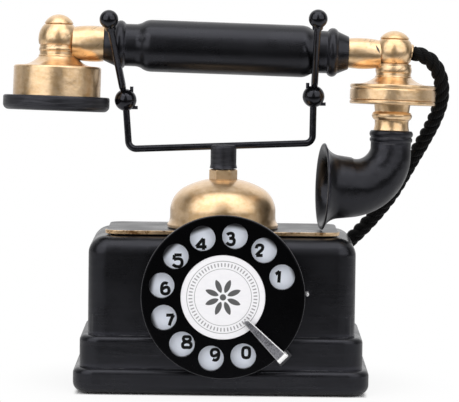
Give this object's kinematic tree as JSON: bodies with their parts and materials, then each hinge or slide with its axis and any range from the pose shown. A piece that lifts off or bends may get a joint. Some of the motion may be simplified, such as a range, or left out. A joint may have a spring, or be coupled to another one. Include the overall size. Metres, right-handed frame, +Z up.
{
  "type": "desk telephone with rotary dial and cradle handset",
  "caption": "Old-style desk telephone: black stepped case, rotary dial, gilt gong, tall wire cradle and a handset with an elbow horn and a twisted cord.",
  "frame": {"origin": "middle of the felt underside of the case, on the surface it stands on", "axes": "+Z up, -Y out of the dial towards the user, +X to the user's right"},
  "size_m": [0.231, 0.1233, 0.1965],
  "materials": {
    "case_black": "satin black paint, brush marks and rubbed edges",
    "gilt": "gold paint with brown brush marks",
    "handle_black": "glossy black lacquer",
    "wheel_black": "satin black",
    "number_white": "pale enamel with black figures",
    "card_white": "white card with a printed ring",
    "steel": "plain bright steel",
    "spring_steel": "dark spring steel",
    "works_brass": "plain machined brass",
    "winding": "varnished winding",
    "rubber_black": "moulded black rubber",
    "board": "brown phenolic board",
    "felt": "dark felt",
    "cord_black": "twisted black cotton cord",
    "wax_paper": "waxed card case"
  },
  "bodies": {
    "base": {"housing": "case_black", "lid": "case_black", "lid_trim": "gilt", "base_felt": "felt", "base_plate": "steel", "base_screws": "steel", "dial_mount": "wheel_black", "number_plate": "number_white", "dial_bush": "works_brass", "index_stud": "steel", "dial_screws": "steel", "finger_stop": "steel", "brake_cup": "works_brass", "dial_frame": "works_brass", "dial_spring": "spring_steel", "gong": "gilt", "gong_pillar": "case_black", "gong_nut": "gilt", "pillar_nut": "steel", "ringer_coils": "winding", "ringer_bracket": "steel", "switch_bracket": "steel", "switch_springs": "board", "hook_spring": "spring_steel", "condenser": "wax_paper", "induction_coil": "winding", "terminal_strip": "board", "cord_grommet": "rubber_black", "line_inlet": "rubber_black", "handset_cord": "cord_black"},
    "dial": {"finger_wheel": "wheel_black", "centre_card": "card_white", "dial_shaft": "steel", "main_gear": "works_brass"},
    "governor": {"governor_spindle": "steel", "governor_weights": "works_brass"},
    "clapper": {"clapper": "steel"},
    "cradle": {"cradle_frame": "case_black", "cradle_post": "case_black", "plunger_rod": "steel", "left_yoke": "case_black", "right_yoke": "case_black", "yoke_tips": "case_black", "cradle_balls": "case_black", "ball_pins": "case_black"},
    "handset": {"handle_grip": "handle_black", "receiver_arm": "gilt", "receiver_shell": "gilt", "ear_cap": "handle_black", "receiver_magnet": "spring_steel", "receiver_diaphragm": "spring_steel", "handset_gland": "gilt", "transmitter_arm": "gilt", "transmitter_case": "gilt", "transmitter_cover": "gilt", "transmitter_capsule": "works_brass", "horn_collar": "handle_black", "handset_finials": "gilt", "mouth_horn": "handle_black"}
  },
  "joints": [
    {"name": "dial_turn", "type": "hinge", "parent": "base", "child": "dial", "pos_m": [0.0007, -0.05, 0.0514], "axis": [0, 1, 0], "range_deg": [0, 320], "stiffness_Nm_per_rad": 0.02, "springref_deg": -34.38, "deforming": ["dial_spring"]},
    {"name": "governor_spin", "type": "hinge", "parent": "base", "child": "governor", "pos_m": [-0.0218, -0.03, 0.0514], "axis": [0, 1, 0], "range_deg": [-1290, 0]},
    {"name": "handset_lift", "type": "slide", "parent": "base", "child": "handset", "axis": [0.0995, 0, 0.995], "range_m": [0, 0.07], "deforming": ["handset_cord"]},
    {"name": "cradle_rise", "type": "slide", "parent": "base", "child": "cradle", "axis": [0, 0, 1], "range_m": [0, 0.0062], "deforming": ["hook_spring"]},
    {"name": "clapper_swing", "type": "hinge", "parent": "base", "child": "clapper", "pos_m": [0.014, 0.01, 0.058], "axis": [1, 0, 0], "range_deg": [-1.4, 3], "stiffness_Nm_per_rad": 0.02}
  ],
  "couplings": [
    {"joint": "governor_spin", "follows": "dial_turn", "ratio": -4},
    {"joint": "cradle_rise", "follows": "handset_lift", "ratio": 0.0857}
  ]
}
